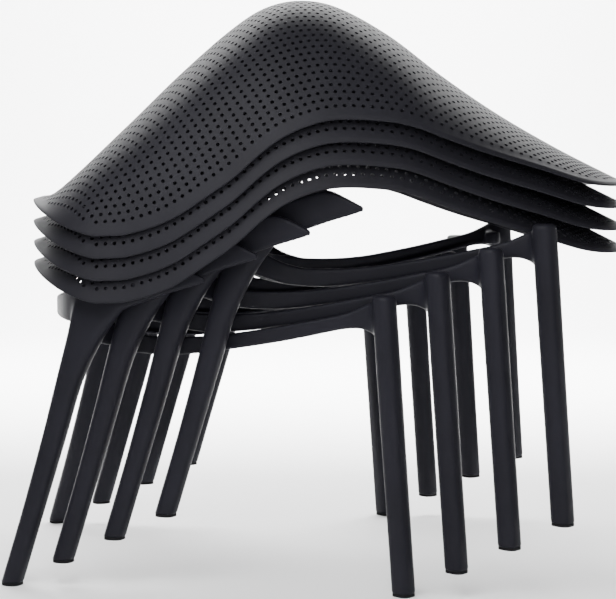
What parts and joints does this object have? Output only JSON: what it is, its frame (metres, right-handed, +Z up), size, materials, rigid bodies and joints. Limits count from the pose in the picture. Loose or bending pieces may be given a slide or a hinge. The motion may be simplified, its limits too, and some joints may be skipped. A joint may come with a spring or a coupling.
{
  "type": "stacking armchair stack",
  "caption": "Knocked-down stacking armchairs: nested plastic leg frames with arm wings, topped by nested upside-down perforated seat shells.",
  "frame": {"origin": "centre of the stack's bounding box in plan, at floor level", "axes": "+X towards the front of the chairs, +Y to the chairs' left, +Z up"},
  "size_m": [0.9362, 0.5926, 0.872],
  "materials": {
    "frame": "matte",
    "shell": "matte",
    "glide": "matte"
  },
  "bodies": {
    "leg_frame_1": {"frame_1": "frame", "glide_1_rear_right": "glide", "glide_1_rear_left": "glide", "glide_1_front_right": "glide", "glide_1_front_left": "glide"},
    "leg_frame_2": {"frame_2": "frame", "glide_2_rear_right": "glide", "glide_2_rear_left": "glide", "glide_2_front_right": "glide", "glide_2_front_left": "glide"},
    "leg_frame_3": {"frame_3": "frame", "glide_3_rear_right": "glide", "glide_3_rear_left": "glide", "glide_3_front_right": "glide", "glide_3_front_left": "glide"},
    "leg_frame_4": {"frame_4": "frame", "glide_4_rear_right": "glide", "glide_4_rear_left": "glide", "glide_4_front_right": "glide", "glide_4_front_left": "glide"},
    "seat_shell_1": {"shell_1": "shell"},
    "seat_shell_2": {"shell_2": "shell"},
    "seat_shell_3": {"shell_3": "shell"},
    "seat_shell_4": {"shell_4": "shell"}
  },
  "joints": [
    {"name": "frame_2_lift", "type": "slide", "parent": "leg_frame_1", "child": "leg_frame_2", "axis": [0.4104, 0, 0.9119], "range_m": [0, 0.5]},
    {"name": "frame_3_lift", "type": "slide", "parent": "leg_frame_2", "child": "leg_frame_3", "axis": [0.4104, 0, 0.9119], "range_m": [0, 0.5]},
    {"name": "frame_4_lift", "type": "slide", "parent": "leg_frame_3", "child": "leg_frame_4", "axis": [0.4104, 0, 0.9119], "range_m": [0, 0.5]},
    {"name": "shell_1_lift", "type": "slide", "parent": "leg_frame_4", "child": "seat_shell_1", "axis": [0, 0, 1], "range_m": [0, 0.4]},
    {"name": "shell_2_lift", "type": "slide", "parent": "seat_shell_1", "child": "seat_shell_2", "axis": [0, 0, 1], "range_m": [0, 0.4]},
    {"name": "shell_3_lift", "type": "slide", "parent": "seat_shell_2", "child": "seat_shell_3", "axis": [0, 0, 1], "range_m": [0, 0.4]},
    {"name": "shell_4_lift", "type": "slide", "parent": "seat_shell_3", "child": "seat_shell_4", "axis": [0, 0, 1], "range_m": [0, 0.4]}
  ]
}
